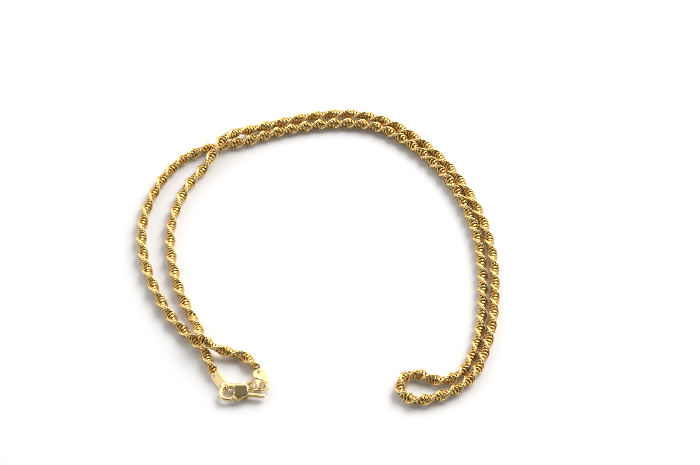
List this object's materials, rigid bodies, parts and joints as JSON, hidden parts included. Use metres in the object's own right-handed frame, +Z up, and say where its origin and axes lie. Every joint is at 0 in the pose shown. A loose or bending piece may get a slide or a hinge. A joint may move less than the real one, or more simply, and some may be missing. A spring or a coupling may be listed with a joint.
{
  "type": "rope chain necklace",
  "caption": "Polished gold rope chain necklace with a lobster clasp, a jump ring and flat end tags, lying closed and folded double in a C.",
  "frame": {"origin": "on the surface that the necklace lies on, under the middle of its bounding box", "axes": "+Z up from the surface, +X along the clasp from its hook to its tail, +Y from the clasp towards the top of the C"},
  "size_m": [0.0856, 0.0841, 0.0049],
  "materials": {
    "rope_gold": "polished gold",
    "clasp_gold": "polished gold"
  },
  "bodies": {
    "necklace": {"rope_chain": "rope_gold", "clasp_body": "clasp_gold", "jump_ring": "clasp_gold", "hooked_end_tag": "clasp_gold", "ring_end_tag": "clasp_gold"},
    "lever": {"clasp_lever": "clasp_gold"}
  },
  "joints": [
    {"name": "lever_open", "type": "hinge", "parent": "necklace", "child": "lever", "pos_m": [-0.016, -0.03935, 0.0013], "axis": [0, 0, -1], "range_deg": [0, 25], "stiffness_Nm_per_rad": 0.01}
  ]
}
